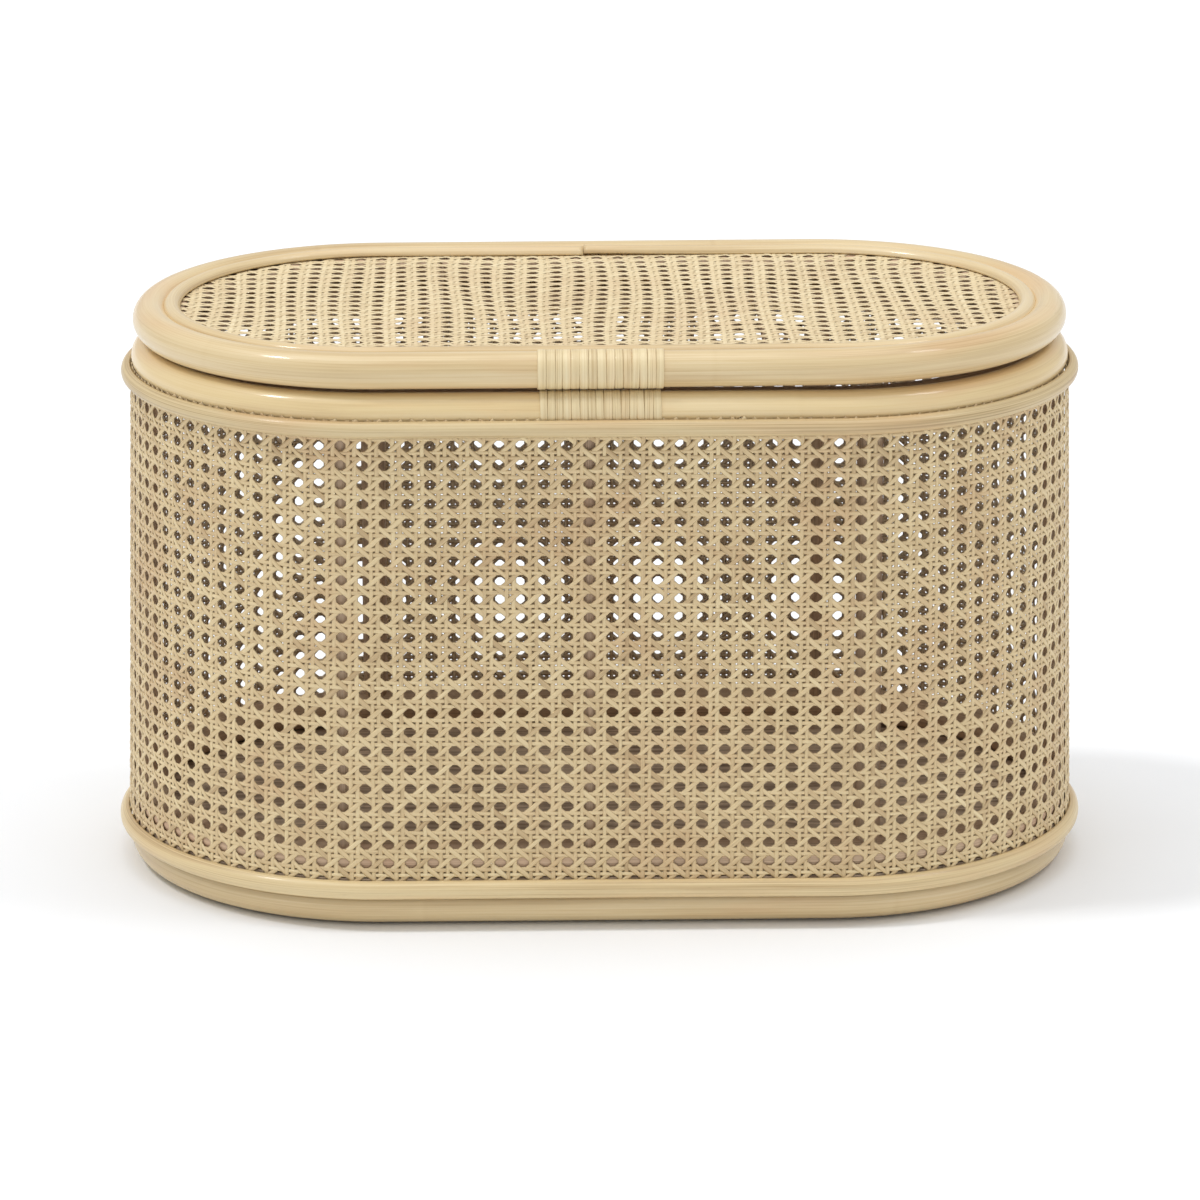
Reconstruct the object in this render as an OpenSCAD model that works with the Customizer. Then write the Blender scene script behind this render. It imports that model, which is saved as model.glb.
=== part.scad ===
// Oval rattan and cane storage ottoman: a woven trunk with a hinged woven lid.
// Length runs along X, the front faces -Y, the hinges are at +Y, and Z is up.
// Each ring is a round pole bent to a stadium: two straights and two half circles.

/* [Plan] */
// Half the length of the straight runs of every ring
half_straight = 137; // [60:1:200]
// Outside radius of the webbing at the height of the rim ring
wall_radius = 155.9; // [145:0.1:180]
// How far the wall stands out at the floor compared with the rim
flare = 7.6; // [0:0.1:10]

/* [Poles] */
// Radius of the base ring pole
base_r = 11; // [9:0.5:13]
// Radius of the lower frame ring pole, inside the webbing on the floor's edge
frame_r = 11; // [8:0.5:12]
// Radius of the rim ring pole
rim_r = 11.1; // [9:0.1:12]
// Radius of the inner rim ring pole, behind the rim ring
rim_inner_r = 6; // [5:0.5:6.5]
// Radius of the outer lid ring pole
lid_r = 11.2; // [9:0.1:12]
// Radius of the support ring pole under the lid webbing
lid_support_r = 7; // [4:0.5:7]
// Radius of the upright posts
post_r = 8; // [5:0.5:9]
// Radius of the two lid crossbars
crossbar_r = 5.5; // [4:0.5:5.9]

/* [Heights] */
// Height of the glides
glide_h = 1.5; // [1:0.5:4]
// Radius of the glides
glide_r = 4.5; // [3:0.5:6]
// Height of the centre of the rim ring
rim_z = 324.6; // [300:0.1:360]
// Gap left between the rim ring and the closed lid ring
lid_gap = 2.6; // [2.4:0.1:4]
// Height of the lower moulding's lower edge
lower_moulding_low = 19.9; // [16:0.1:21]
// Height of the upper moulding's upper edge
upper_moulding_high = 321; // [316:0.1:322]

/* [Skins] */
// Thickness of the cane webbing
web_t = 1.5; // [1:0.1:2]
// Depth of the half-round mouldings
moulding_d = 5.5; // [4:0.1:7]
// Height of the upper moulding
upper_moulding_h = 10.4; // [9:0.1:13]
// Height of the lower moulding
lower_moulding_h = 11.9; // [10:0.1:15]
// Width of the half-round strip that holds the lid webbing down
lid_moulding_w = 10.5; // [8:0.1:12]
// Height of that strip
lid_moulding_h = 4.4; // [3:0.1:5]
// Thickness of the lashing peel
peel_t = 1; // [0.4:0.05:1.05]
// Place of the middle of the lashings along the length
lashing_x = -3; // [-60:1:60]
// Length of the lashing on the rim ring
rim_lashing_l = 73; // [40:1:100]
// Length of the lashing on the lid ring
lid_lashing_l = 76; // [40:1:100]

/* [Inside] */
// Thickness of the plywood floor
floor_t = 9; // [6:0.5:12]
// Width of a floor batten
batten_w = 25; // [15:1:40]
// Thickness of a floor batten
batten_t = 12; // [8:0.5:14]
// Distance of each floor batten from the middle
batten_x = 90; // [60:1:120]
// How far round the end the two front corner posts stand, in degrees
front_post_angle = 9; // [0:1:30]
// How far round the end the two back corner posts stand, in degrees
back_post_angle = 3; // [0:1:30]
// Place of the front centre post along the length
front_center_x = -10; // [-60:1:60]
// Distance of the lid crossbars from the middle
crossbar_x = 103; // [60:1:125]

/* [Hinges] */
// Distance of each hinge from the middle
hinge_x = 95; // [60:1:110]
// Length of a hinge
hinge_l = 42; // [30:1:60]
// Radius of the hinge barrel
barrel_r = 3; // [2.5:0.1:3.2]
// Radius of the hinge pin
pin_r = 1.5; // [1.2:0.1:1.8]
// Running clearance of the pin in the lid knuckle
pin_play = 0.05; // [0.02:0.01:0.1]
// Thickness of a hinge leaf
leaf_t = 1.5; // [1:0.1:1.5]
// Distance of a hinge screw from the middle of its leaf
screw_x = 13; // [8:0.5:15]
// Length of a hinge screw
screw_l = 13; // [8:0.5:14]
// Radius of a hinge screw's shank
screw_r = 1.2; // [0.8:0.1:1.4]

/* [Hidden] */
$fn = 64;
cane = [0.85, 0.74, 0.56];
pole = [0.84, 0.71, 0.50];
split = [0.88, 0.77, 0.58];
ply = [0.74, 0.58, 0.38];
brass = [0.78, 0.62, 0.30];
nylon = [0.16, 0.15, 0.14];

// small fits
nail_gap = 0.1; // between pieces that are only nailed together
rim_inset = 0.9; // rim ring inside the webbing's line
lid_inset = 1.5; // lid ring inside the rim ring
inner_rise = 3; // inner rim ring above the rim ring
glide_cope = 5; // how far a glide reaches up beside the base ring
strip_inset = 8; // outer edge of the lid strip inside the middle of the lid ring
pole_flat = 8.2; // depth left outside a ring's middle where a hinge leaf lies

// wall line: outer webbing radius at a height, and the wall's lean
slope = flare / rim_z;
lean = atan(slope);
function wall_at(z) = wall_radius + slope * (rim_z - z);

// trunk: ring centre radii and heights, from the ground up
base_z = glide_h + base_r;
base_rc = wall_at(base_z) - web_t - base_r - nail_gap;
panel_z = base_z + base_r;
panel_r = wall_at(panel_z + floor_t) - web_t - nail_gap;
lower_z = panel_z + floor_t + frame_r;
lower_rc = wall_at(lower_z) - (web_t + frame_r) / cos(lean);
rim_rc = wall_radius - rim_r - rim_inset;
rim_inner_z = rim_z + inner_rise;
rim_inner_rc = rim_rc - sqrt(pow(rim_r + rim_inner_r, 2) - pow(rim_inner_z - rim_z, 2));
lower_moulding_z = lower_moulding_low + lower_moulding_h / 2;
upper_moulding_z = upper_moulding_high - upper_moulding_h / 2;
wall_z0 = lower_moulding_low + 1.1;
wall_z1 = upper_moulding_high;

// lid: the webbing lies in the ring just above its centre, with a strip on it and poles under it
lid_z = rim_z + rim_r + lid_gap + lid_r;
lid_rc = rim_rc - lid_inset;
lid_web_top = lid_z + lid_r - lid_moulding_h;
lid_web_low = lid_web_top - web_t;
lid_web_r = lid_rc - sqrt(lid_r * lid_r - pow(lid_web_low - lid_z, 2)) - 2 * nail_gap;
lid_moulding_rc = lid_rc - strip_inset - lid_moulding_w / 2;
support_z = lid_web_low - lid_support_r;
support_rc = lid_rc - sqrt(pow(lid_r + lid_support_r, 2) - pow(lid_z - support_z, 2));

// hinge lines
hinge_z = rim_z + rim_r + lid_gap / 2;
seat_y = rim_rc + pole_flat;
hinge_y = seat_y + barrel_r;
knuckle_gap = 0.3;
knuckle_l = (hinge_l - 2 * knuckle_gap) / 3;
leaf_clear = 0.4; // between a leaf and the other leaf's knuckle
pin_head_t = 0.6;
pin_head_r = barrel_r - 0.6;
leaf_low = rim_z - 4.4;
leaf_high = lid_z + 5.2;
body_screw_z = rim_z - 0.2;
lid_screw_z = lid_z + 1;

// ---- helpers -------------------------------------------------------------
// sweep a profile, drawn as radius and height, once round the stadium
module loop() {
    translate([half_straight, 0, 0]) rotate([0, 0, -90]) rotate_extrude(angle = 180) children();
    translate([-half_straight, 0, 0]) rotate([0, 0, 90]) rotate_extrude(angle = 180) children();
    translate([-half_straight, 0, 0]) rotate([90, 0, 90]) linear_extrude(2 * half_straight) children();
    mirror([0, 1, 0]) translate([-half_straight, 0, 0]) rotate([90, 0, 90])
        linear_extrude(2 * half_straight) children();
}

module pole_ring(rc, z, r) {
    loop() translate([rc, z]) circle(r);
}

// half-round section of width w that bulges by d towards +X from a flat on the Y axis
module half_round(w, d) {
    rr = (w * w / 4 + d * d) / (2 * d);
    intersection() {
        translate([d - rr, 0]) circle(rr);
        translate([0, -w]) square([2 * rr, 2 * w]);
    }
}

// half-round strip nailed round the leaning wall
module wall_moulding(z, h) {
    loop() translate([wall_at(z) + 0.05, z]) rotate(lean) half_round(h, moulding_d);
}

// cylinder from one point to another
module rod(a, b, r) {
    d = b - a;
    len = norm(d);
    translate(a) rotate([0, acos(d[2] / len), atan2(d[1], d[0])]) cylinder(h = len, r = r);
}

// upright from the lower frame ring to the rim ring, coped to both; (dx, dy) points outward there
module post(cx, dx, dy) {
    a = [cx + dx * lower_rc, dy * lower_rc, lower_z];
    b = [cx + dx * (rim_rc + rim_inset), dy * (rim_rc + rim_inset), rim_z];
    difference() {
        rod(a, b, post_r);
        pole_ring(lower_rc, lower_z, frame_r);
        pole_ring(rim_rc, rim_z, rim_r);
    }
}

// post on the round end at side s, t degrees round from the front or back straight f
module corner_post(s, f, t) {
    post(s * half_straight, s * sin(t), f * cos(t));
}

// countersunk screw driven in from behind
module screw(x, z) {
    head_r = screw_r + leaf_t - 0.2;
    translate([x, seat_y + leaf_t, z]) rotate([90, 0, 0]) {
        cylinder(h = screw_l, r = screw_r);
        cylinder(h = leaf_t, r1 = head_r, r2 = screw_r);
    }
}

module screw_pair(x, z) {
    for (sx = [-1, 1]) screw(x + sx * screw_x, z);
}

// the two screws of each hinge leaf, with a cross cut in each head
module hinge_screws(z) {
    slot_l = 2.8;
    slot_w = 0.5;
    slot_d = 0.8;
    difference() {
        for (s = [-1, 1]) screw_pair(s * hinge_x, z);
        for (s = [-1, 1], sx = [-1, 1], d = [[slot_l, slot_w], [slot_w, slot_l]])
            translate([s * hinge_x + sx * screw_x - d[0] / 2, seat_y + leaf_t - slot_d, z - d[1] / 2])
                cube([d[0], 2 * slot_d, d[1]]);
    }
}

// flat sawn across the back of a ring so that a hinge leaf can lie on it
module leaf_seat(x, low, high) {
    translate([x - hinge_l / 2 - 0.5, seat_y, low]) cube([hinge_l + 1, 20, high - low]);
}

module barrel(x0, l, bore) {
    translate([x0, hinge_y, hinge_z]) rotate([0, 90, 0]) difference() {
        cylinder(h = l, r = barrel_r);
        translate([0, 0, -1]) cylinder(h = l + 2, r = bore);
    }
}

module body_leaf(x) {
    difference() {
        union() {
            translate([x - hinge_l / 2, seat_y, leaf_low])
                cube([hinge_l, leaf_t, hinge_z - barrel_r - leaf_clear - leaf_low]);
            for (s = [0, 1]) {
                x0 = x - hinge_l / 2 + s * (hinge_l - knuckle_l);
                translate([x0, seat_y, hinge_z - barrel_r - 1]) cube([knuckle_l, leaf_t, barrel_r + 1]);
                barrel(x0, knuckle_l, pin_r);
            }
        }
        translate([x - hinge_l, hinge_y, hinge_z]) rotate([0, 90, 0]) cylinder(h = 2 * hinge_l, r = pin_r);
        screw_pair(x, body_screw_z);
    }
}

module lid_leaf(x) {
    x0 = x - knuckle_l / 2;
    difference() {
        union() {
            translate([x - hinge_l / 2, seat_y, hinge_z + barrel_r + leaf_clear])
                cube([hinge_l, leaf_t, leaf_high - hinge_z - barrel_r - leaf_clear]);
            translate([x0, seat_y, hinge_z]) cube([knuckle_l, leaf_t, barrel_r + 1]);
            barrel(x0, knuckle_l, pin_r + pin_play);
        }
        translate([x0 - 1, hinge_y, hinge_z]) rotate([0, 90, 0])
            cylinder(h = knuckle_l + 2, r = pin_r + pin_play);
        screw_pair(x, lid_screw_z);
    }
}

module hinge_pin(x) {
    translate([x - hinge_l / 2 - pin_head_t, hinge_y, hinge_z]) rotate([0, 90, 0]) {
        cylinder(h = hinge_l + 2 * pin_head_t, r = pin_r);
        cylinder(h = pin_head_t, r = pin_head_r);
        translate([0, 0, hinge_l + pin_head_t]) cylinder(h = pin_head_t, r = pin_head_r);
    }
}

// bar across the lid, coped to the support ring
module crossbar(x) {
    reach = support_rc - 2;
    difference() {
        translate([x, -reach, lid_web_low - crossbar_r]) rotate([-90, 0, 0])
            cylinder(h = 2 * reach, r = crossbar_r);
        pole_ring(support_rc, support_z, lid_support_r);
    }
}

// ---- trunk ---------------------------------------------------------------
// low blocks coped to the inner underside of the base ring
module glides() {
    color(nylon) difference() {
        for (p = [[-1, -1], [0, -1], [1, -1], [-1, 1], [0, 1], [1, 1]])
            translate([p[0] * half_straight, p[1] * (base_rc - glide_r - 3), 0])
                cylinder(h = glide_h + glide_cope, r = glide_r);
        pole_ring(base_rc, base_z, base_r);
    }
}

module base_ring() {
    color(pole) pole_ring(base_rc, base_z, base_r);
}

module base_panel() {
    color(ply) translate([0, 0, panel_z]) linear_extrude(floor_t) {
        square([2 * half_straight, 2 * panel_r], center = true);
        for (s = [-1, 1]) translate([s * half_straight, 0]) circle(panel_r);
    }
}

// battens coped to the inner side of the base ring
module base_battens() {
    reach = base_rc - 6;
    color(ply) difference() {
        for (s = [-1, 1])
            translate([s * batten_x - batten_w / 2, -reach, panel_z - batten_t])
                cube([batten_w, 2 * reach, batten_t]);
        pole_ring(base_rc, base_z, base_r);
    }
}

module lower_frame_ring() {
    color(pole) pole_ring(lower_rc, lower_z, frame_r);
}

module lower_moulding() {
    color(split) wall_moulding(lower_moulding_z, lower_moulding_h);
}

module wall_webbing() {
    color(cane) loop() polygon([
        [wall_at(wall_z0) - web_t, wall_z0],
        [wall_at(wall_z0), wall_z0],
        [wall_at(wall_z1), wall_z1],
        [wall_at(wall_z1) - web_t, wall_z1]
    ]);
}

module post_front_left() {
    color(pole) corner_post(-1, -1, front_post_angle);
}

module post_front_center() {
    color(pole) post(front_center_x, 0, -1);
}

module post_front_right() {
    color(pole) corner_post(1, -1, front_post_angle);
}

module post_back_left() {
    color(pole) corner_post(-1, 1, back_post_angle);
}

module post_back_center() {
    color(pole) post(0, 0, 1);
}

module post_back_right() {
    color(pole) corner_post(1, 1, back_post_angle);
}

module post_end_left() {
    color(pole) post(-half_straight, -1, 0);
}

module post_end_right() {
    color(pole) post(half_straight, 1, 0);
}

module upper_moulding() {
    color(split) wall_moulding(upper_moulding_z, upper_moulding_h);
}

module rim_ring() {
    color(pole) difference() {
        pole_ring(rim_rc, rim_z, rim_r);
        for (s = [-1, 1]) {
            leaf_seat(s * hinge_x, leaf_low, rim_z + rim_r + 1);
            screw_pair(s * hinge_x, body_screw_z);
        }
    }
}

module rim_inner_ring() {
    color(pole) pole_ring(rim_inner_rc, rim_inner_z, rim_inner_r);
}

module rim_lashing() {
    color(cane) difference() {
        translate([lashing_x - rim_lashing_l / 2, -rim_rc, rim_z]) rotate([0, 90, 0])
            cylinder(h = rim_lashing_l, r = rim_r + peel_t);
        translate([-200, -rim_rc, rim_z]) rotate([0, 90, 0]) cylinder(h = 400, r = rim_r);
        translate([-200, -rim_rc - 40, 0]) cube([400, 40, wall_z1]);
        rim_inner_ring();
        post_front_center();
    }
}

module hinge_left_body_leaf() {
    color(brass) body_leaf(-hinge_x);
}

module hinge_right_body_leaf() {
    color(brass) body_leaf(hinge_x);
}

module hinge_left_pin() {
    color(brass) hinge_pin(-hinge_x);
}

module hinge_right_pin() {
    color(brass) hinge_pin(hinge_x);
}

module hinge_body_screws() {
    color(brass) hinge_screws(body_screw_z);
}

// ---- lid -----------------------------------------------------------------
module lid_outer_ring() {
    color(pole) difference() {
        pole_ring(lid_rc, lid_z, lid_r);
        for (s = [-1, 1]) {
            leaf_seat(s * hinge_x, lid_z - lid_r - 1, leaf_high);
            screw_pair(s * hinge_x, lid_screw_z);
        }
    }
}

module lid_inner_moulding() {
    color(split) difference() {
        loop() translate([lid_moulding_rc, lid_web_top]) rotate(90)
            half_round(lid_moulding_w, lid_moulding_h);
        pole_ring(lid_rc, lid_z, lid_r);
    }
}

module lid_support_ring() {
    color(pole) pole_ring(support_rc, support_z, lid_support_r);
}

module lid_webbing() {
    color(cane) translate([0, 0, lid_web_low]) linear_extrude(web_t) {
        square([2 * half_straight, 2 * lid_web_r], center = true);
        for (s = [-1, 1]) translate([s * half_straight, 0]) circle(lid_web_r);
    }
}

module lid_crossbar_left() {
    color(pole) crossbar(-crossbar_x);
}

module lid_crossbar_right() {
    color(pole) crossbar(crossbar_x);
}

module lid_lashing() {
    color(cane) difference() {
        translate([lashing_x - lid_lashing_l / 2, -lid_rc, lid_z]) rotate([0, 90, 0])
            cylinder(h = lid_lashing_l, r = lid_r + peel_t);
        translate([-200, -lid_rc, lid_z]) rotate([0, 90, 0]) cylinder(h = 400, r = lid_r);
        lid_inner_moulding();
        translate([-200, -support_rc, support_z]) rotate([0, 90, 0]) cylinder(h = 400, r = lid_support_r);
        translate([-200, -lid_web_r, lid_web_low]) cube([400, 20, web_t]);
    }
}

module hinge_left_lid_leaf() {
    color(brass) lid_leaf(-hinge_x);
}

module hinge_right_lid_leaf() {
    color(brass) lid_leaf(hinge_x);
}

module hinge_lid_screws() {
    color(brass) hinge_screws(lid_screw_z);
}

// ---- assembly ------------------------------------------------------
glides();
base_ring();
base_panel();
base_battens();
lower_frame_ring();
lower_moulding();
wall_webbing();
post_front_left();
post_front_center();
post_front_right();
post_back_left();
post_back_center();
post_back_right();
post_end_left();
post_end_right();
upper_moulding();
rim_ring();
rim_inner_ring();
rim_lashing();
hinge_left_body_leaf();
hinge_right_body_leaf();
hinge_left_pin();
hinge_right_pin();
hinge_body_screws();
lid_outer_ring();
lid_inner_moulding();
lid_support_ring();
lid_webbing();
lid_crossbar_left();
lid_crossbar_right();
lid_lashing();
hinge_left_lid_leaf();
hinge_right_lid_leaf();
hinge_lid_screws();
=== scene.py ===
"""Visual model of the oval rattan and cane storage ottoman, in the CAD frame, in metres."""

import bpy
import math
import numpy as np
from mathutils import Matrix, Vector


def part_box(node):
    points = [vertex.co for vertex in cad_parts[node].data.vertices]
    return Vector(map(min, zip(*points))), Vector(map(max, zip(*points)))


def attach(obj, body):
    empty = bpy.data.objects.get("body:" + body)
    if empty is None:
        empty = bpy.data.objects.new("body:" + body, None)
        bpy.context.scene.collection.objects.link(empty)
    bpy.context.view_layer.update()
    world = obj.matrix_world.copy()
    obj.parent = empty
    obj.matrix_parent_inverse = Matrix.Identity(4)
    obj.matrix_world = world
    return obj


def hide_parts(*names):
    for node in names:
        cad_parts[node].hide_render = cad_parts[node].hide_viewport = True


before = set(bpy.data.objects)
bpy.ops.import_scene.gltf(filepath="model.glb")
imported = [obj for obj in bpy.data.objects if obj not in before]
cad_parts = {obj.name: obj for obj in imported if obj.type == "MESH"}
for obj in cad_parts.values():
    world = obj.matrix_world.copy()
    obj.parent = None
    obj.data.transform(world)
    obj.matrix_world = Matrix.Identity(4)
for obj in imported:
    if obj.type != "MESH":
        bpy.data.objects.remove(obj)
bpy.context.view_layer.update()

A = 0.137  # half of every ring's straight run
FLARE = 7.6 / 324.6  # how the wall stands out towards the floor
MOULD_D = 0.0055  # how far the wall mouldings stand off the webbing
STRIP_W = 0.0105  # width of the strip on the lid webbing
STRIP_INSET = 0.008  # its outer edge inside the middle of the lid ring
PEEL_T = 0.001  # thickness of the lashing peel
WALL_T = 0.0015  # thickness of the wall webbing
SECTIONS = 457  # sections swept along one ring
ROUND = 32  # points round a pole's section
CREST_W, GROOVE_W = 0.004, 0.0013  # reach of a stem joint's crest and of the groove beside it
GROOVE_AT = 0.0045  # from the crest to the groove
LID_END, LID_TILT, LID_DROP = 0.28, 0.0009, 0.0003  # how the closed lid rests: see lid_rest
LEAF_PLAY = 0.0006  # between a hinge leaf's end and the end of its flat on the pole
NF, NB, NA = 20, 21, 37  # webbing columns on the front run, the back run and round an end
NC = NF + NB + 2 * NA  # columns all round
BACK = NF / 2 + NA + NB / 2  # column coordinate of the back centre
TAU = 2 * math.pi
rng = np.random.default_rng(11)  # draws for the webbing, in the order that its strands are made


# ---------------------------------------------------------------- plan shape
def plan(c, r):
    """Stadium of end radius r at column coordinate c, 0 at the front centre: x, y and outward normal."""
    c = np.mod(np.asarray(c, float), NC)
    r = np.broadcast_to(np.asarray(r, float), c.shape)
    h = NF / 2
    x, y, nx, ny = (np.zeros(c.shape) for _ in range(4))
    m = c < h
    x[m], ny[m] = c[m] * A / h, -1
    m = (c >= h) & (c < h + NA)
    t = -math.pi / 2 + math.pi * (c[m] - h) / NA
    x[m], nx[m], ny[m] = A, np.cos(t), np.sin(t)
    m = (c >= h + NA) & (c < h + NA + NB)
    x[m], ny[m] = A - (c[m] - h - NA) * 2 * A / NB, 1
    m = (c >= h + NA + NB) & (c < NC - h)
    t = math.pi / 2 + math.pi * (c[m] - h - NA - NB) / NA
    x[m], nx[m], ny[m] = -A, np.cos(t), np.sin(t)
    m = c >= NC - h
    x[m], ny[m] = (c[m] - NC) * A / h, -1
    return x + nx * r, ny * r, nx, ny


def back_column(x):
    """Column coordinate of a place x along the back run."""
    return NF / 2 + NA + (A - x) * NB / (2 * A)


def arc_length(x, y, z):
    """Distance along a path of points."""
    d = np.sqrt(np.diff(x) ** 2 + np.diff(y) ** 2 + np.diff(z) ** 2)
    return np.concatenate([[0], np.cumsum(d)])


def waves(s, length, amp, seed, n=5):
    """A smooth small wander along a path, the same at both of its ends."""
    g = np.random.default_rng(seed)
    out = np.zeros(np.shape(s))
    for k in range(1, n + 1):
        out = out + g.normal() / k * np.sin(TAU * k * s / length + g.uniform(0, TAU))
    return out * amp / 1.5


# ---------------------------------------------------------------- mesh making
def make(name, verts, faces, material, body, node, grain, tone):
    """One piece from its points and faces, riding on a body in place of a CAD node.

    grain is each point's place along and across its own strand, and tone how light it is.
    """
    verts = np.asarray(verts, np.float32).reshape(-1, 3)
    faces = np.asarray(faces, np.int32)
    k = faces.shape[1]
    me = bpy.data.meshes.new(name)
    me.vertices.add(len(verts))
    me.vertices.foreach_set("co", verts.ravel())
    me.loops.add(faces.size)
    me.loops.foreach_set("vertex_index", faces.ravel())
    me.polygons.add(len(faces))
    me.polygons.foreach_set("loop_start", np.arange(0, faces.size, k, dtype=np.int32))
    me.polygons.foreach_set("loop_total", np.full(len(faces), k, np.int32))
    me.polygons.foreach_set("use_smooth", np.full(len(faces), True))
    a = me.attributes.new("grain", "FLOAT_VECTOR", "POINT")
    a.data.foreach_set("vector", np.asarray(grain, np.float32).ravel())
    a = me.attributes.new("tone", "FLOAT", "POINT")
    a.data.foreach_set("value", np.asarray(tone, np.float32).ravel())
    me.update(calc_edges=True)
    me.materials.append(material)
    o = bpy.data.objects.new(name, me)
    bpy.context.scene.collection.objects.link(o)
    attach(o, body)
    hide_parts(node)


def tube_faces(n, m):
    """Quads joining n sections of m points each, round each section."""
    i = np.arange(n - 1)[:, None]
    j = np.arange(m)[None, :]
    j2 = (j + 1) % m
    return np.stack([i * m + j, (i + 1) * m + j, (i + 1) * m + j2, i * m + j2], -1).reshape(-1, 4)


def spread(values, shape):
    """Values of one row or column repeated over a whole grid of points."""
    return np.broadcast_to(values, shape)


def stem_joints(total, seed):
    """Places of the stem's joints along a pole."""
    shortest, longest, end = 0.20, 0.34, 0.02
    g = np.random.default_rng(seed)
    out, x = [], g.uniform(0.03, shortest)
    while x < total - end:
        out.append(x)
        x += g.uniform(shortest, longest)
    return out


def pole(name, c, rc, zc, r, seed, body, mat, node, profile=None, wander=0.00022, seat_y=None,
         lift=0.0, lead=0.0, cap=False):
    """A bent pole, or a moulding of the given profile, swept along the plan at column coordinates c.

    lift raises it, lead shifts its grain, cap closes its ends, and it is cut flat at seat_y for the hinges.
    """
    x, y, nx, ny = plan(c, rc)
    z = np.full(len(c), float(zc))
    s = arc_length(x, y, z)
    total = s[-1]
    off = waves(s, total, wander, seed)
    z = z + waves(s, total, wander, seed + 1)
    z = z + lift
    x, y = x + nx * off, y + ny * off
    rr = 1 + waves(s, total, 0.006, seed + 2, 7)  # the section's size, which varies along the pole
    tone = 0.5 + waves(s, total, 0.12, seed + 3, 9)
    if profile is None:
        g = np.random.default_rng(seed + 4)
        for q in stem_joints(total, seed + 5):
            w = g.uniform(0.15, 0.5)  # how strongly this joint shows
            crest = np.exp(-((s - q) / CREST_W) ** 2)
            groove = np.exp(-((s - q - GROOVE_AT) / GROOVE_W) ** 2)
            rr = rr + 0.012 * w * crest - 0.008 * w * groove
            tone = tone + 0.10 * w * crest - 0.30 * w * groove
        a = (np.arange(ROUND) + 0.5) / ROUND * TAU + math.pi
        profile = np.cos(a) * r, np.sin(a) * r
    pr, pz = profile
    m = len(pr)
    du = pr[None, :] * rr[:, None]
    dz = pz[None, :] * rr[:, None]
    vx = x[:, None] + nx[:, None] * du
    vy = y[:, None] + ny[:, None] * du
    vz = z[:, None] + dz
    if seat_y is not None:
        for sx, half in SEATS:
            flat = (np.abs(vx - sx) < half) & (vy > seat_y) & (y[:, None] > 0)
            vy = np.where(flat, seat_y, vy)
    v = np.stack([vx, vy, vz], -1)
    grain = np.stack([spread(q, vx.shape) for q in (s[:, None] + lead, pr, pz)], -1)
    t = spread(tone[:, None], vx.shape)
    f = tube_faces(len(c), m)
    v, grain, t = v.reshape(-1, 3), grain.reshape(-1, 3), t.reshape(-1)
    if cap:
        ends = []
        for e, rev in ((0, False), (len(c) - 1, True)):
            k = len(v)
            end = slice(e * m, (e + 1) * m)
            v = np.vstack([v, v[end].mean(0)])
            grain = np.vstack([grain, grain[end].mean(0)])
            t = np.append(t, t[e * m] - 0.5)
            for j in range(0, m, 2):
                q = [k, e * m + j, e * m + (j + 1) % m, e * m + (j + 2) % m]
                ends.append(q[::-1] if rev else q)
        f = np.vstack([f, ends])
    make(name, v, f, mat, body, node, grain, t)


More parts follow.
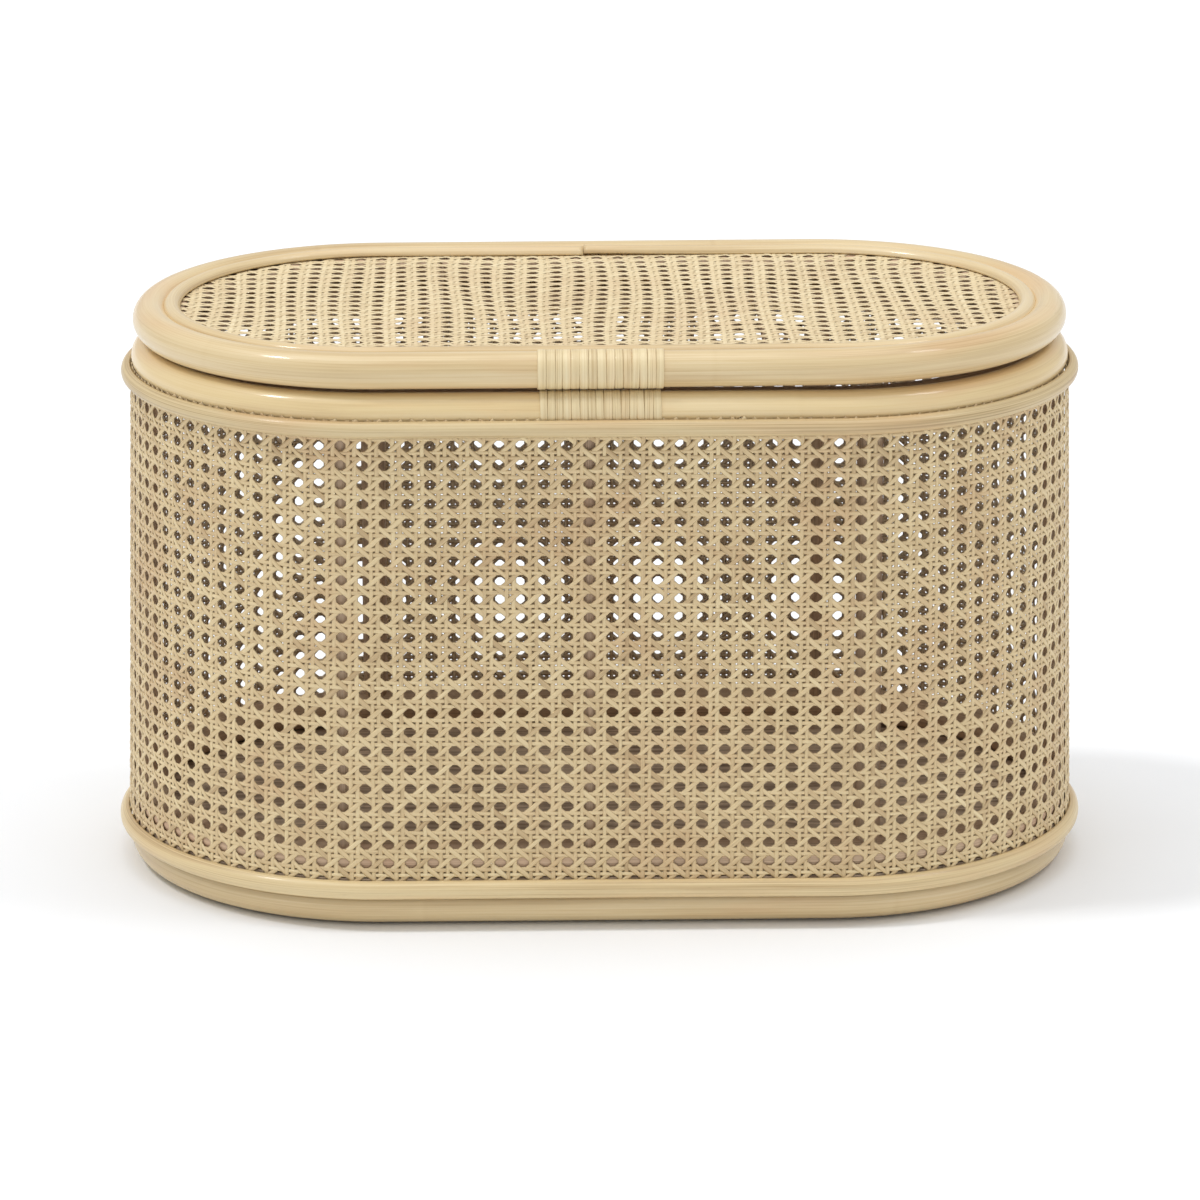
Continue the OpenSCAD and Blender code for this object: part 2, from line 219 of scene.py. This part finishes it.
# ---------------------------------------------------------------- materials
class Mat:
    """A node material under construction; its methods add nodes and give back their outputs."""

    def __init__(self, name):
        self.m = bpy.data.materials.new(name)
        self.m.use_nodes = True
        self.t = self.m.node_tree
        self.bsdf = self.t.nodes["Principled BSDF"]

    def node(self, kind, **props):
        n = self.t.nodes.new(kind)
        for k, v in props.items():
            if k in n.inputs:
                n.inputs[k].default_value = v
            else:
                setattr(n, k, v)
        return n

    def link(self, a, b):
        self.t.links.new(a, b)

    def add(self, a, b):
        return self.math("ADD", a, b)

    def times(self, a, b):
        return self.math("MULTIPLY", a, b)

    def centred(self, a, weight):
        """Noise about zero, times a weight."""
        return self.times(self.math("SUBTRACT", a, 0.5), weight)

    def put(self, socket, value):
        s = self.bsdf.inputs[socket]
        if isinstance(value, (int, float, tuple, list)):
            s.default_value = value
        else:
            self.link(value, s)

    def attr(self, name, out="Vector"):
        return self.node("ShaderNodeAttribute", attribute_name=name).outputs[out]

    def coords(self):
        return self.node("ShaderNodeTexCoord").outputs["Object"]

    def scale(self, vec, xyz):
        n = self.node("ShaderNodeMapping")
        n.inputs["Scale"].default_value = xyz
        self.link(vec, n.inputs["Vector"])
        return n.outputs["Vector"]

    def noise(self, vec, scale, detail=3.0, rough=0.55, distort=0.0):
        n = self.node("ShaderNodeTexNoise", Scale=scale, Detail=detail, Roughness=rough, Distortion=distort)
        self.link(vec, n.inputs["Vector"])
        return n.outputs["Fac"]

    def math(self, op, a, b=0.0):
        n = self.node("ShaderNodeMath", operation=op)
        for i, v in enumerate((a, b)):
            if isinstance(v, (int, float)):
                n.inputs[i].default_value = v
            else:
                self.link(v, n.inputs[i])
        return n.outputs[0]

    def ramp(self, fac, *stops):
        n = self.node("ShaderNodeValToRGB")
        e = n.color_ramp.elements
        while len(e) < len(stops):
            e.new(0.5)
        for el, (p, col) in zip(e, stops):
            el.position = p
            el.color = (*col, 1.0)
        self.link(fac, n.inputs["Fac"])
        return n.outputs["Color"]

    def span(self, fac, a, b, lo=0.0, hi=1.0):
        n = self.node("ShaderNodeMapRange", clamp=True)
        for key, v in (("From Min", a), ("From Max", b), ("To Min", lo), ("To Max", hi)):
            n.inputs[key].default_value = v
        self.link(fac, n.inputs["Value"])
        return n.outputs["Result"]

    def mix(self, fac, a, b, kind="MIX"):
        n = self.node("ShaderNodeMix", data_type="RGBA", blend_type=kind)
        for i, v in ((0, fac), (6, a), (7, b)):
            if isinstance(v, (int, float)):
                n.inputs[i].default_value = v
            elif isinstance(v, tuple):
                n.inputs[i].default_value = (*v, 1.0)
            else:
                self.link(v, n.inputs[i])
        return n.outputs[2]

    def bump(self, height, strength, distance):
        n = self.node("ShaderNodeBump", Strength=strength, Distance=distance)
        self.link(height, n.inputs["Height"])
        self.put("Normal", n.outputs["Normal"])


def lin(r, g, b):
    """An sRGB colour, 0 to 255, as linear values."""
    return tuple(v / 255 / 12.92 if v <= 10 else ((v / 255 + 0.055) / 1.055) ** 2.4 for v in (r, g, b))


def rattan(name, light, mid, dark, coat=0.5, rough=0.42, streak=0.3, along=5.0, across=700.0, axis=None):
    """Peeled rattan: long soft patches, fibres along the stem, a blush here and there, a thin lacquer.

    The fibres follow the mesh's own grain, or an axis of the object where the mesh comes from the CAD.
    """
    m = Mat(name)
    if axis is not None:
        g = m.coords()
        tone = m.noise(m.scale(g, (9, 9, 4)), 1.0, 2)

        def stretch(a, b):
            return m.scale(g, tuple(a if k == axis else b for k in range(3)))
    else:
        g = m.attr("grain")
        tone = m.attr("tone", "Fac")

        def stretch(a, b):
            return m.scale(g, (a, b, b))
    soft = m.noise(stretch(6.0, 90), 1.0, 3)
    fibre = m.noise(stretch(along, across), 1.0, 4, 0.7)
    hair = m.noise(stretch(along * 1.7, across * 3.1), 1.0, 2, 0.5)
    base = m.add(m.times(soft, 0.6), m.times(tone, 0.42))
    base = m.add(base, m.centred(fibre, streak))
    base = m.add(base, m.centred(hair, streak * 0.8))
    col = m.ramp(base, (0.24, dark), (0.51, mid), (0.80, light))
    blush = m.noise(stretch(8.0, 45), 1.0, 2)
    col = m.mix(m.span(blush, 0.50, 0.70, 0.0, 0.8), col, (1.0, 0.90, 0.86), "MULTIPLY")
    pore = m.noise(stretch(90, 900), 1.0, 2, 0.5)
    col = m.mix(m.span(pore, 0.72, 0.80, 0.0, 0.22), col, tuple(v * 0.6 for v in dark))
    m.put("Base Color", col)
    m.put("Roughness", m.span(fibre, 0.3, 0.7, rough - 0.08, rough + 0.12))
    m.put("Coat Weight", coat)
    m.put("Coat Roughness", 0.12)
    m.bump(m.add(fibre, hair), 0.4, 0.0002)
    return m.m


# bare poles inside the trunk and under the lid, without lacquer
RAW = dict(light=lin(218, 192, 162), mid=lin(200, 172, 142), dark=lin(160, 133, 106),
           coat=0.0, rough=0.6, streak=0.9)
M_POLE = rattan("rattan_pole", lin(235, 216, 177), lin(222, 198, 151), lin(195, 165, 117), streak=0.5)
# the rim ring's own copy, brighter and yellower than the pole's: painted light against the lid ring's shadow
# on the rim
M_RIM_PAINTED_LIGHT = rattan("rattan_pole_rim_painted_light", lin(244, 224, 182), lin(233, 208, 156), lin(206, 174, 122))
M_RAW = rattan("rattan_pole_raw", **RAW)
M_POST = rattan("rattan_pole_upright", **RAW, axis=2)
M_BAR = rattan("rattan_pole_crossbar", **RAW, axis=1)
M_SPLIT = rattan("split_cane", lin(236, 217, 172), lin(222, 199, 152), lin(186, 157, 112),
                 coat=0.25, rough=0.45, streak=0.75, along=3.5, across=620.0)
M_SPLIT_UP = rattan("split_cane_upper", lin(222, 202, 158), lin(208, 185, 140), lin(168, 140, 98),
                    coat=0.2, rough=0.48, streak=0.9, along=3.5, across=620.0)
M_PEEL = rattan("lashing_peel", lin(241, 225, 185), lin(230, 210, 165), lin(192, 165, 119),
                coat=0.25, rough=0.40, streak=0.9, along=6.0, across=1150.0)


STRAND_OUT, STRAND_IN = 0.5, -0.32  # a strand's outer and inner faces, as shares of its thickness
GRAIN_H = 0.0004  # thickness that the grain coordinates give every strand
INNER_H = STRAND_IN * GRAIN_H  # its flat inner face in those coordinates


def cane(name, dark, mid, light, dulling):
    """Woven cane strand: each its own tone, fibres along it, dull pinkish patches, and a pale inner face that
    is painted light, lifting the shade inside.
    """
    m = Mat(name)
    g = m.attr("grain")
    tone = m.attr("tone", "Fac")
    fine = m.noise(m.scale(g, (14, 2200, 600)), 1.0, 3, 0.6)
    soft = m.noise(m.scale(g, (22, 60, 60)), 1.0, 2)
    base = m.add(m.times(soft, 0.5), m.times(tone, 0.55))
    base = m.add(base, m.centred(fine, 0.55))
    col = m.ramp(base, (0.16, dark), (0.50, mid), (0.84, light))
    patch = m.noise(m.scale(m.coords(), (16, 16, 16)), 1.0, 4, 0.65)
    dull = m.span(m.add(patch, m.centred(soft, 0.5)), 0.50, 0.70, 0.0, dulling)
    col = m.mix(dull, col, (0.86, 0.76, 0.72), "MULTIPLY")
    depth = m.node("ShaderNodeSeparateXYZ")
    m.link(g, depth.inputs[0])
    # painted light: the inner face, which looks into the shaded inside of the trunk and under the lid, is
    # mixed towards a pale colour
    inner = m.span(depth.outputs["Z"], INNER_H, 0.9 * INNER_H, 0.75, 0.0)
    col = m.mix(inner, col, lin(233, 216, 190))
    m.put("Base Color", col)
    m.put("Roughness", m.span(fine, 0.3, 0.7, 0.45, 0.65))
    m.put("Coat Weight", 0.1)
    m.put("Coat Roughness", 0.25)
    m.bump(fine, 0.3, 0.0001)
    return m.m


M_CANE = cane("cane_webbing", lin(174, 145, 105), lin(219, 195, 150), lin(238, 219, 175), 0.75)
# the lid's copy of the cane is lighter than the wall's, painted light for the lid's top, and has fewer dull
# patches
M_CANE_LID_PAINTED_LIGHT = cane("cane_webbing_lid_painted_light", lin(189, 162, 121), lin(230, 209, 166), lin(243, 227, 188), 0.45)


def wood(name, light, dark, stretch, rings):
    """Sawn wood: growth rings drawn out along the grain, with a fine fibre."""
    m = Mat(name)
    v = m.coords()
    g = m.scale(v, stretch)
    warp = m.noise(g, 1.0, 3, 0.5, 0.4)
    band = m.math("FRACT", m.times(warp, rings))
    band = m.math("ABSOLUTE", m.math("SUBTRACT", band, 0.5))
    fine = m.noise(m.scale(v, tuple(q * 9 for q in stretch)), 1.0, 4, 0.7)
    fac = m.add(m.times(band, 0.9), m.times(fine, 0.55))
    m.put("Base Color", m.ramp(fac, (0.2, dark), (0.8, light)))
    m.put("Roughness", m.span(fine, 0.3, 0.7, 0.55, 0.75))
    m.bump(fine, 0.3, 0.0003)
    return m.m


M_PLY = wood("plywood", lin(228, 205, 178), lin(138, 114, 92), (2.2, 26, 26), 14.0)
M_BATTEN = wood("batten_softwood", lin(212, 182, 138), lin(178, 140, 94), (26, 2.2, 26), 9.0)


def metal(name, col, dark):
    """Satin metal, a little tarnished, with fine scratches."""
    m = Mat(name)
    v = m.coords()
    n = m.noise(v, 160.0, 4, 0.6)
    scratch = m.noise(m.scale(v, (2600, 300, 300)), 1.0, 2)
    m.put("Base Color", m.ramp(n, (0.35, dark), (0.62, col)))
    m.put("Metallic", 1.0)
    m.put("Roughness", m.span(m.add(m.times(n, 0.6), m.times(scratch, 0.4)), 0.35, 0.65, 0.22, 0.46))
    m.bump(scratch, 0.2, 0.0001)
    return m.m


M_BRASS = metal("hinge_brass", lin(214, 178, 104), lin(160, 124, 66))


def plastic(name, col):
    """Matte moulded plastic with a fine texture."""
    m = Mat(name)
    n = m.noise(m.coords(), 900.0, 3, 0.6)
    dark, light = (tuple(v * q for v in col) for q in (0.75, 1.25))
    m.put("Base Color", m.ramp(n, (0.3, dark), (0.7, light)))
    m.put("Roughness", m.span(n, 0.3, 0.7, 0.45, 0.65))
    m.bump(n, 0.3, 0.0001)
    return m.m


M_NYLON = plastic("glide_nylon", (0.03, 0.028, 0.026))


# ---------------------------------------------------------------- ring sizes from the CAD
def ring(node):
    """Centre radius, centre height and pole radius of a CAD ring."""
    lo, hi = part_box(node)
    r = (hi.z - lo.z) / 2
    return hi.x - A - r, (hi.z + lo.z) / 2, r


FRONT_SEAM = np.linspace(0, NC, SECTIONS)  # columns once round, with the mesh's seam at the front centre
BACK_SEAM = FRONT_SEAM + BACK

lid_rc, lid_z, lid_r = ring("lid_outer_ring")
rim_rc, rim_z, rim_r = ring("rim_ring")
seat_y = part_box("hinge_left_lid_leaf")[0].y
leaf_lo, leaf_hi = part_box("hinge_right_lid_leaf")
hinge_x, seat_half = (leaf_lo.x + leaf_hi.x) / 2, (leaf_hi.x - leaf_lo.x) / 2 + LEAF_PLAY
SEATS = [(-hinge_x, seat_half), (hinge_x, seat_half)]  # middle and half length of each hinge's flat


def fine_seats(c):
    """Extra sections at the ends of the hinge seats, so that their flats end squarely."""
    extra, close = [], 0.006  # in columns
    for sx, half in SEATS:
        for e in (sx - half, sx + half):
            k = back_column(e)
            extra += [k - close, k + close]
    extra = np.array(extra)
    extra = np.where(extra < c[0], extra + NC, extra)
    return np.sort(np.concatenate([c, extra]))


def lid_rest(x):
    """The closed lid lies a little low at the left and stands a little proud at the right."""
    return LID_TILT * np.asarray(x) / LID_END - LID_DROP


def rest_of(c):
    """lid_rest at column coordinates."""
    return lid_rest(plan(c, lid_rc)[0])


# ---------------------------------------------------------------- poles
hinged = fine_seats(FRONT_SEAM)
pole("rim_ring_pole", hinged, rim_rc, rim_z, rim_r, 21, "trunk", M_RIM_PAINTED_LIGHT, "rim_ring",
     seat_y=seat_y, wander=0.00012)
# the lid ring springs up by 0.8 mm at the front right, round column 14
spring = 0.0008 * np.exp(-((hinged - 14.0) / 4.5) ** 2)
pole("lid_outer_ring_pole", hinged, lid_rc, lid_z, lid_r, 31, "lid", M_POLE,
     "lid_outer_ring", seat_y=seat_y, wander=0.00012, lift=rest_of(hinged) + spring)
for node, body, seed, lead, mat in (
    ("base_ring", "trunk", 41, 2.0, M_POLE),
    ("lower_frame_ring", "trunk", 51, 4.0, M_RAW),
    ("rim_inner_ring", "trunk", 61, 6.0, M_RAW),
    ("lid_support_ring", "lid", 71, 8.0, M_RAW),
):
    rc, zc, r = ring(node)
    pole(node + "_pole", BACK_SEAM, rc, zc, r, seed, body, mat, node, lead=lead,
         wander=0.0001, lift=rest_of(BACK_SEAM) if body == "lid" else 0.0)


# ---------------------------------------------------------------- half-round mouldings
def half_round(width, depth, lean=0.0):
    """Points of a half-round strip, its flat on the second axis, and its flat side closed."""
    rr = (width * width / 4 + depth * depth) / (2 * depth)
    a0 = math.asin(min(1.0, width / 2 / rr))
    a0 = a0 if depth <= rr else math.pi - a0
    a = np.linspace(-a0, a0, 19)
    p = np.concatenate([depth - rr + rr * np.cos(a), np.zeros(5)])
    q = np.concatenate([rr * np.sin(a), np.linspace(width / 2, -width / 2, 7)[1:-1]])
    return p * math.cos(lean) - q * math.sin(lean), p * math.sin(lean) + q * math.cos(lean)


def wall_moulding(node, seed, lead, mat):
    """Half-round strip round the leaning wall, at the place and height of its CAD node."""
    lo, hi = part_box(node)
    lean = math.atan(FLARE)
    profile = half_round(hi.z - lo.z, MOULD_D, lean)
    back = hi.x - A - MOULD_D * math.cos(lean)
    pole(node + "_strip", BACK_SEAM, back, (hi.z + lo.z) / 2, 0, seed, "trunk", mat, node,
         profile=profile, lead=lead)


wall_moulding("upper_moulding", 91, 12.0, M_SPLIT_UP)
wall_moulding("lower_moulding", 101, 14.0, M_SPLIT)

# the strip on the lid webbing is one length whose two ends butt at the back, a little left of the middle
strip_lo, strip_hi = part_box("lid_inner_moulding")
butt, half_gap = back_column(-0.0078), 0.012  # where its ends meet, and half the gap, in columns
once = np.linspace(butt + half_gap, butt + NC - half_gap, SECTIONS)
sprung = 0.0010 * np.exp(-((butt + NC - once) / 4.0) ** 2)  # its last end stands 1 mm up
up, out = half_round(STRIP_W, strip_hi.z - strip_lo.z)
pole("lid_inner_moulding_strip", once, lid_rc - STRIP_INSET - STRIP_W / 2, strip_lo.z, 0, 81, "lid",
     M_POLE, "lid_inner_moulding", profile=(-out, up), lead=10.0, wander=0.00028,
     lift=sprung + rest_of(once), cap=True)


# ---------------------------------------------------------------- lashings
def lashing(name, node, rc, zc, r, body, seed, turns=15):
    """Flat peel wound closely round a pole: one continuous strip."""
    lo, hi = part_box(node)
    g = np.random.default_rng(seed)
    per_turn, step_at = 48, 0.8  # sections to a turn, and where in it the peel steps to the next
    n = turns * per_turn + 1
    t = np.linspace(0, turns, n)
    turn = np.minimum(np.floor(t), turns - 1).astype(int)
    edges = np.concatenate([[0], np.cumsum(1 + g.normal(0, 0.06, turns))])
    edges = lo.x + edges / edges[-1] * (hi.x - lo.x)
    mid = (edges[1:] + edges[:-1]) / 2
    step = np.clip((t % 1 - step_at) / 0.2, 0, 1)
    x = mid[turn] * (1 - step) + mid[np.minimum(turn + 1, turns - 1)] * step
    a = TAU * t - 0.8 * math.pi  # the steps fall on the hidden side
    w = np.diff(edges)[turn] * (0.985 + 0.008 * g.normal(0, 1, turns))[turn]
    tilt = g.normal(0, 0.00018, turns)[turn]
    # the peel's section: place across its width, and height
    ps = np.array([-0.5, -0.48, -0.38, 0.0, 0.38, 0.48, 0.5])
    ph = np.array([0.0, 0.74, 0.90, 0.94, 0.90, 0.74, 0.0]) * PEEL_T
    ride_up = g.normal(0, 0.00006, turns)[turn]
    vx = x[:, None] + ps[None] * w[:, None] + (tilt * np.sin(a))[:, None]
    rad = r - 0.00005 + ph[None] + ride_up[:, None]
    vy = -rc - rad * np.cos(a)[:, None]
    vz = zc + rad * np.sin(a)[:, None]
    if body == "lid":
        vz = vz + lid_rest(vx)
    m = len(ps)
    i = np.arange(n - 1)[:, None]
    j = np.arange(m - 1)[None]
    f = np.stack([i * m + j + 1, (i + 1) * m + j + 1, (i + 1) * m + j, i * m + j], -1).reshape(-1, 4)
    along = (t * TAU * r)[:, None]
    across = ps * w.mean() + turn[:, None] * 0.01
    grain = np.stack([spread(q, vx.shape) for q in (along, across, ph)], -1)
    tone = spread((0.5 + g.normal(0, 0.06, turns))[turn][:, None], vx.shape)
    make(name, np.stack([vx, vy, vz], -1), f, M_PEEL, body, node, grain, tone)


lashing("rim_lashing_peel", "rim_lashing", rim_rc, rim_z, rim_r, "trunk", 5)
lashing("lid_lashing_peel", "lid_lashing", lid_rc, lid_z, lid_r, "lid", 6)


# ---------------------------------------------------------------- cane webbing
class Strands:
    """Ribbons in (a, b, off): a and b count mesh pitches, and off stands off the sheet, in metres."""

    def __init__(self, place, pa, pb, mat):
        self.place, self.pa, self.pb, self.mat = place, pa, pb, mat
        self.v, self.f, self.g, self.t, self.n = [], [], [], [], 0

    def add(self, a, b, off, width, thick, tone):
        a, b, off = (np.asarray(q, float) for q in (a, b, off))
        ta, tb = np.gradient(a) * self.pa, np.gradient(b) * self.pb
        ln = np.hypot(ta, tb)
        ta, tb = ta / ln, tb / ln
        s = np.concatenate([[0], np.cumsum(np.hypot(np.diff(a) * self.pa, np.diff(b) * self.pb))])
        # a flat inner face of the full width and a narrower outer one
        e = np.array([-0.5, -0.26, 0.26, 0.5]) * width
        h = np.array([STRAND_IN, STRAND_OUT, STRAND_OUT, STRAND_IN]) * thick
        va = a[:, None] - tb[:, None] * e / self.pa
        vb = b[:, None] + ta[:, None] * e / self.pb
        vo = off[:, None] + h
        self.v.append(np.stack(self.place(va, vb, vo), -1).reshape(-1, 3))
        n = len(a)
        self.f.append(tube_faces(n, 4)[:, ::-1] + self.n)
        lead = self.n * 0.013  # every strand has its own stretch of grain
        across = spread(e, va.shape) + lead
        g = np.stack([spread(s[:, None] + lead, va.shape), across, spread(h / thick * GRAIN_H, va.shape)], -1)
        self.g.append(g.reshape(-1, 3))
        self.t.append(np.full(n * 4, tone))
        self.n += n * 4

    def done(self, name, body, node):
        make(name, np.vstack(self.v), np.vstack(self.f), self.mat, body, node,
             np.vstack(self.g), np.concatenate(self.t))


W_V, W_H, W_D = 0.0028, 0.0027, 0.0031  # widths of the upright, level and slanting strands
HALF_V, HALF_H = 0.00198, 0.00166  # half the distance between the two strands of a pair
SLANT = {"/": 1, "\\": -1}  # columns that a slanting strand moves on in every row
JOG_PAIR, JOG_SLANT = 0.00009, 0.00012  # how far the strands wander sideways
# strand thickness, how far the pairs and the slants ride over, and how wide the strands are to the norm
WALL_RELIEF = (0.00045, 0.00024, 0.00050, 1.0)
LID_RELIEF = (0.00034, 0.00015, 0.00028, 1.12)  # the lid's weave is pressed flatter


def jog(t, amp):
    """A sideways wander of one strand, in metres."""
    slow = np.sin(t * 0.9 + rng.uniform(0, TAU)) + 0.6 * np.sin(t * 2.3 + rng.uniform(0, TAU))
    return amp * (slow + rng.normal(0, 0.5, len(t)))


def samples(lo, hi, parts):
    """The given parts of every pitch between two places, with the two places themselves."""
    k = np.arange(math.floor(lo) - 1, math.ceil(hi) + 1)
    t = (k[:, None] + np.asarray(parts)[None]).ravel()
    t = t[(t > lo + 1e-6) & (t < hi - 1e-6)]
    return np.concatenate([[lo], t, [hi]])


def run_of_pair(lo, hi, half, side):
    """Places along one strand of a pair, and its side of the sheet where it crosses the other pairs."""
    near = 0.02  # of a pitch
    t = samples(lo, hi, (0.12, 0.5 - half, 0.5 + half, 0.88))
    before, after = (np.abs(t % 1 - 0.5 + q) < near for q in (half, -half))
    return t, np.where(before, -side, 0) + np.where(after, side, 0)


def weave(family, place, pa, pb, limits, name, body, node, relief):
    """One family of strands. limits(family) gives each strand's number and the stretch it runs over."""
    st = Strands(place, pa, pb, M_CANE if body == "trunk" else M_CANE_LID_PAINTED_LIGHT)
    thick, d_pair, d_slant, wide = relief
    half_v, half_h = HALF_V / pa, HALF_H / pb

    def add(a, b, off, width):
        """One strand, with a width and a tone of its own."""
        st.add(a, b, off, width * wide * rng.uniform(0.86, 1.10), thick, 0.5 + rng.normal(0, 0.13))

    for k, lo, hi in limits(family):
        if family == "v":
            for side in (-1, 1):
                b, off = run_of_pair(lo, hi, half_h, side * d_pair)
                add(k + 0.5 + side * half_v + jog(b, JOG_PAIR) / pa, b, off, W_V)
        elif family == "h":
            for side in (-1, 1):
                a, off = run_of_pair(lo, hi, half_v, -side * d_pair)
                add(a, k + 0.5 + side * half_h + jog(a, JOG_PAIR) / pb, off, W_H)
        else:
            b = samples(lo, hi, (0.0, 0.25, 0.5, 0.75))
            slope = SLANT[family]
            a = k + 0.5 + slope * b + jog(b, JOG_SLANT) / pa
            add(a, b, slope * d_slant * np.cos(TAU * b), W_D)
    st.done(name, body, node)


# the wall
wall_lo, wall_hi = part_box("wall_webbing")
FOOT_R = wall_hi.x - A  # outer radius at the foot
MEAN_R = FOOT_R - 0.0035  # about half way up
COLUMN = (4 * A + TAU * MEAN_R) / NC  # mean width of a column of holes
ROW = 0.011944  # height of a row of holes
ROW_Z = 0.0187  # height of the lowest row of holes, behind the lower moulding
FIRST_HOLE = 0.28  # column coordinate of the hole nearest the front centre
B_LO, B_HI = (wall_lo.z - ROW_Z) / ROW, (wall_hi.z - ROW_Z) / ROW


def on_wall(a, b, off):
    """Place on the leaning wall of column a and row b."""
    z = ROW_Z + b * ROW
    r = FOOT_R - FLARE * (z - wall_lo.z) - WALL_T / 2 + off
    x, y, _, _ = plan(a + FIRST_HOLE, r)
    return x, y, z


def wall_limits(family):
    """Rounds go once round; the others end raggedly under the upper moulding."""
    if family == "h":
        return [(k, 0.0, float(NC)) for k in range(math.ceil(B_LO), int(B_HI))]
    return [(k, B_LO, B_HI + rng.uniform(-0.03, 0.06)) for k in range(NC)]


for family, name in (("v", "uprights"), ("h", "rounds"), ("/", "slants_a"), ("\\", "slants_b")):
    weave(family, on_wall, COLUMN, ROW, wall_limits, "wall_webbing_" + name, "trunk", "wall_webbing",
          WALL_RELIEF)

# the lid panel
panel_lo, panel_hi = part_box("lid_webbing")
LID_R = panel_hi.y
LID_Z = (panel_lo.z + panel_hi.z) / 2
LID_COLUMN, LID_ROW = 0.0137, 0.0119  # pitch of the lid's holes
bar_lo, bar_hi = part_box("lid_crossbar_right")
BAR_X = (bar_lo.x + bar_hi.x) / 2
SAG, BAR_REACH = 0.0016, 0.028  # how deep the panel sags, and how far from a crossbar it is still held up
TRUE_EDGE = 0.03  # width of the margin in which the weave comes back into line


def from_edge(x, y):
    """How far inside the panel's edge a place lies."""
    return LID_R - np.hypot(np.maximum(np.abs(x) - A, 0), y)


def lid_sag(x, y):
    """The panel sags a little between the crossbars and the edge."""
    edge = np.clip(from_edge(x, y) / LID_R, 0, 1)
    bars = 1 - 0.9 * np.exp(-((np.abs(x) - BAR_X) / BAR_REACH) ** 2)
    return -SAG * np.sqrt(edge) * bars


def on_lid(a, b, off):
    """The lid's webbing was pulled a little out of square, but lies true at its edge."""
    x, y = a * LID_COLUMN, b * LID_ROW
    fade = np.clip(from_edge(x, y) / TRUE_EDGE, 0, 1)
    dx = 0.0022 * np.sin(x * 21 + 1.0) * np.sin(y * 15 + 0.6) + 0.0013 * np.sin(x * 47 + y * 23)
    dy = 0.0018 * np.sin(x * 33 + 0.4) + 0.0010 * np.sin(x * 71 + 2.0 + y * 9)
    return x + dx * fade, y + dy * fade, LID_Z + off + lid_sag(x, y) + lid_rest(x)


def lid_limits(family):
    """Every strand that crosses the panel, and where it meets the edge."""
    out, reach, per_pitch = [], 60, 200  # pitches either way, and tries to a pitch
    t = np.linspace(-reach, reach, 2 * reach * per_pitch + 1)
    for k in range(-45, 46):
        if family == "h":
            a, b = t, k + 0.5
        else:
            a, b = k + 0.5 + SLANT.get(family, 0) * t, t
        run = t[from_edge(a * LID_COLUMN, b * LID_ROW) > 0]
        if len(run) > per_pitch / 2:
            out.append((k, run[0], run[-1]))
    return out


for family, name in (("v", "crosswise"), ("h", "lengthwise"), ("/", "slants_a"), ("\\", "slants_b")):
    weave(family, on_lid, LID_COLUMN, LID_ROW, lid_limits, "lid_webbing_" + name, "lid", "lid_webbing",
          LID_RELIEF)

# ---------------------------------------------------------------- CAD nodes that stay
KEPT = (("post_", M_POST), ("base_panel", M_PLY), ("base_battens", M_BATTEN), ("glides", M_NYLON),
        ("lid_crossbar_", M_BAR), ("hinge_", M_BRASS))
for start, mat in KEPT:
    for node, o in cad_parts.items():
        if node.startswith(start):
            o.data.materials.clear()
            o.data.materials.append(mat)


# ---------------------------------------------------------------- floor, light and camera
def floor():
    """A wide pale floor, slightly cool, so that the warm bounce from the object comes out neutral."""
    m = Mat("floor_pale")
    n = m.noise(m.coords(), 3.0, 3)
    m.put("Base Color", m.ramp(n, (0.3, (0.925, 0.945, 0.975)), (0.7, (0.945, 0.965, 0.995))))
    m.put("Roughness", 0.9)
    m.put("Specular IOR Level", 0.1)
    me = bpy.data.meshes.new("floor")
    half = 15  # metres
    me.from_pydata([(x * half, y * half, 0) for x, y in ((-1, -1), (1, -1), (1, 1), (-1, 1))], [],
                   [(0, 1, 2, 3)])
    me.materials.append(m.m)
    o = bpy.data.objects.new("floor", me)
    bpy.context.scene.collection.objects.link(o)


floor()


def lamp(name, loc, target, power, degrees):
    """A sun lamp whose disc is so many degrees wide."""
    d = bpy.data.lights.new(name, "SUN")
    d.energy = power
    d.angle = math.radians(degrees)
    o = bpy.data.objects.new(name, d)
    o.location = loc
    o.rotation_euler = (Vector(target) - Vector(loc)).to_track_quat("-Z", "Y").to_euler()
    bpy.context.scene.collection.objects.link(o)


lamp("overhead", (0, 0.2, 4), (0, 0, 0), 0.8, 50)
lamp("box_left", (-0.92, -0.11, 2.0), (0, 0, 0.35), 0.8, 8)
lamp("box_right", (0.92, -0.11, 2.0), (0, 0, 0.35), 0.32, 12)

studio = bpy.data.worlds.new("studio")
studio.use_nodes = True
sky = studio.node_tree.nodes["Background"]
sky.inputs["Color"].default_value = (1.0, 1.0, 1.0, 1.0)
sky.inputs["Strength"].default_value = 0.62
bpy.context.scene.world = studio

# the camera stands in front, turned TURN from the middle and looking down by PITCH
TURN, PITCH, DISTANCE, HEIGHT = 0.023, 0.293, 3.6, 1.2474
cam = bpy.data.cameras.new("camera")
cam.sensor_width = 36
cam.lens = 178.368
cam.clip_end = 60
camera = bpy.data.objects.new("camera", cam)
camera.location = (-DISTANCE * math.sin(TURN), -DISTANCE * math.cos(TURN), HEIGHT)
camera.rotation_euler = (math.pi / 2 - PITCH, 0, -TURN)
bpy.context.scene.collection.objects.link(camera)
bpy.context.scene.camera = camera

settings = bpy.context.scene.view_settings
settings.view_transform = "Standard"
settings.look = "None"
settings.exposure = 0.0
settings.gamma = 1.0
